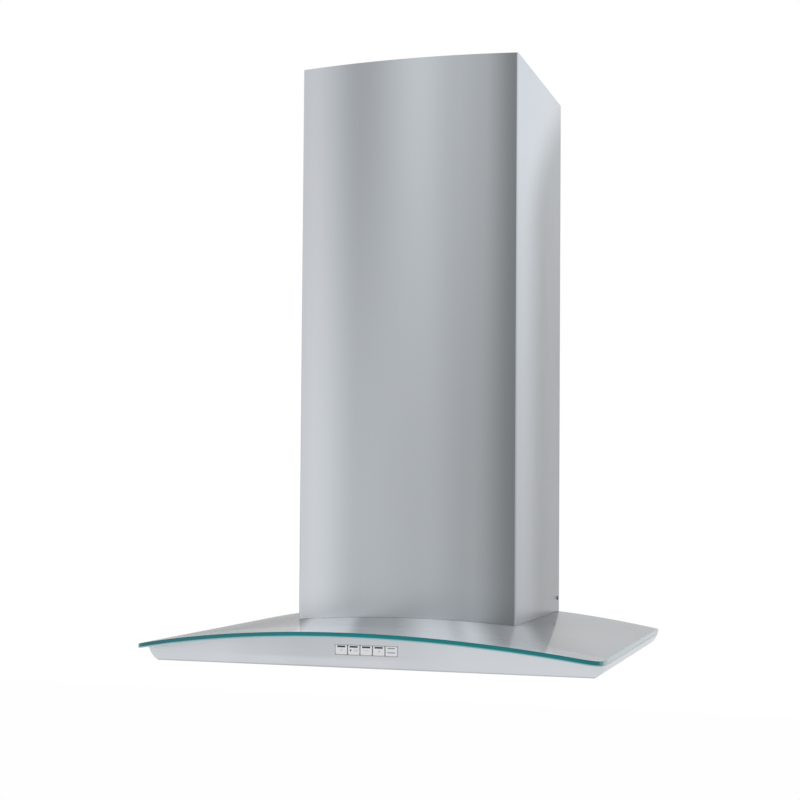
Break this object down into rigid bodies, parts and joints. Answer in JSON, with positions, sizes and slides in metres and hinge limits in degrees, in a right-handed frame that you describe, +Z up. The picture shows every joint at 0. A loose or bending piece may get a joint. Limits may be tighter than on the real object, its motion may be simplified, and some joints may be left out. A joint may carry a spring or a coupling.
{
  "type": "range hood",
  "caption": "Wall-hung range hood: arched glass canopy over a shallow steel body with push buttons, tall bowed steel chimney, blower, lamps and grease filters.",
  "frame": {"origin": "on the wall plane, at the middle of the canopy's bottom rear edge", "axes": "+X to the right seen from the front, +Y into the wall, +Z up; the front faces -Y"},
  "size_m": [0.598, 0.538, 0.802],
  "materials": {
    "brushed_steel": "brushed",
    "satin_steel": "satin",
    "glass": "polished",
    "zinc_steel": "zinc plated",
    "aluminium": "raw",
    "black_plastic": "matte",
    "grey_plastic": "matte",
    "button_plastic": "satin silver",
    "white_plastic": "matte",
    "rubber": "matte",
    "foam": "foam",
    "board": "laminate",
    "screw_steel": "plated",
    "shaft_steel": "ground",
    "lens_glass": "frosted",
    "bulb_glass": "clear",
    "motor_paint": "painted"
  },
  "bodies": {
    "hood": {"glass_canopy": "glass", "glass_gasket": "foam", "canopy_body": "satin_steel", "underside_panel": "satin_steel", "panel_screws": "screw_steel", "housing_screws": "screw_steel", "chimney_cover": "brushed_steel", "foot_bracket": "zinc_steel", "chimney_screws": "screw_steel", "chimney_glides": "white_plastic", "wall_rail": "zinc_steel", "housing_hook": "zinc_steel", "blower_housing": "zinc_steel", "glass_clips": "zinc_steel", "glass_clip_pads": "rubber", "scroll_left": "grey_plastic", "scroll_right": "grey_plastic", "scroll_screws": "screw_steel", "motor": "motor_paint", "motor_bracket": "zinc_steel", "motor_screws": "screw_steel", "exhaust_collar": "black_plastic", "collar_screws": "screw_steel", "flap_pins": "shaft_steel", "capacitor": "white_plastic", "capacitor_clip": "zinc_steel", "terminal_box": "black_plastic", "terminal_lid": "black_plastic", "cable_gland": "black_plastic", "button_carrier": "black_plastic", "control_board": "board", "tact_switches": "black_plastic", "board_cover": "black_plastic", "lamp_housing_left": "satin_steel", "lamp_housing_right": "satin_steel", "lamp_lens_left": "lens_glass", "lamp_lens_right": "lens_glass", "lamp_bulb_left": "bulb_glass", "lamp_bulb_right": "bulb_glass", "lamp_transformer": "black_plastic", "filter_clips": "screw_steel"},
    "chimney_extension": {"chimney_extension": "brushed_steel", "ceiling_bracket": "zinc_steel", "extension_screws": "screw_steel"},
    "fan": {"impeller": "black_plastic", "fan_shaft": "shaft_steel"},
    "flap_left": {"flap_left": "grey_plastic"},
    "flap_right": {"flap_right": "grey_plastic"},
    "filter_left": {"filter_frame_left": "aluminium", "filter_mesh_left": "aluminium"},
    "filter_right": {"filter_frame_right": "aluminium", "filter_mesh_right": "aluminium"},
    "button_1": {"button_1": "button_plastic"},
    "button_2": {"button_2": "button_plastic"},
    "button_3": {"button_3": "button_plastic"},
    "button_4": {"button_4": "button_plastic"},
    "button_5": {"button_5": "button_plastic"}
  },
  "joints": [
    {"name": "extension_slide", "type": "slide", "parent": "hood", "child": "chimney_extension", "axis": [0, 0, 1], "range_m": [0, 0.4]},
    {"name": "fan_spin", "type": "hinge", "parent": "hood", "child": "fan", "pos_m": [0, -0.1345, 0.17], "axis": [-1, 0, 0], "continuous": true},
    {"name": "flap_left_swing", "type": "hinge", "parent": "hood", "child": "flap_left", "pos_m": [-0.004, -0.1865, 0.3165], "axis": [0, 1, 0], "range_deg": [0, 80]},
    {"name": "flap_right_swing", "type": "hinge", "parent": "hood", "child": "flap_right", "pos_m": [0.004, -0.1865, 0.3165], "axis": [0, -1, 0], "range_deg": [0, 80]},
    {"name": "filter_left_swing", "type": "hinge", "parent": "hood", "child": "filter_left", "pos_m": [-0.134, -0.0545, 0.0068], "axis": [1, 0, 0], "range_deg": [0, 80]},
    {"name": "filter_right_swing", "type": "hinge", "parent": "hood", "child": "filter_right", "pos_m": [0.134, -0.0545, 0.0068], "axis": [1, 0, 0], "range_deg": [0, 80]},
    {"name": "button_1_press", "type": "slide", "parent": "hood", "child": "button_1", "axis": [0, 1, 0], "range_m": [0, 0.002], "stiffness_N_per_m": 400},
    {"name": "button_2_press", "type": "slide", "parent": "hood", "child": "button_2", "axis": [0, 1, 0], "range_m": [0, 0.002], "stiffness_N_per_m": 400},
    {"name": "button_3_press", "type": "slide", "parent": "hood", "child": "button_3", "axis": [0, 1, 0], "range_m": [0, 0.002], "stiffness_N_per_m": 400},
    {"name": "button_4_press", "type": "slide", "parent": "hood", "child": "button_4", "axis": [0, 1, 0], "range_m": [0, 0.002], "stiffness_N_per_m": 400},
    {"name": "button_5_press", "type": "slide", "parent": "hood", "child": "button_5", "axis": [0, 1, 0], "range_m": [0, 0.002], "stiffness_N_per_m": 400}
  ]
}
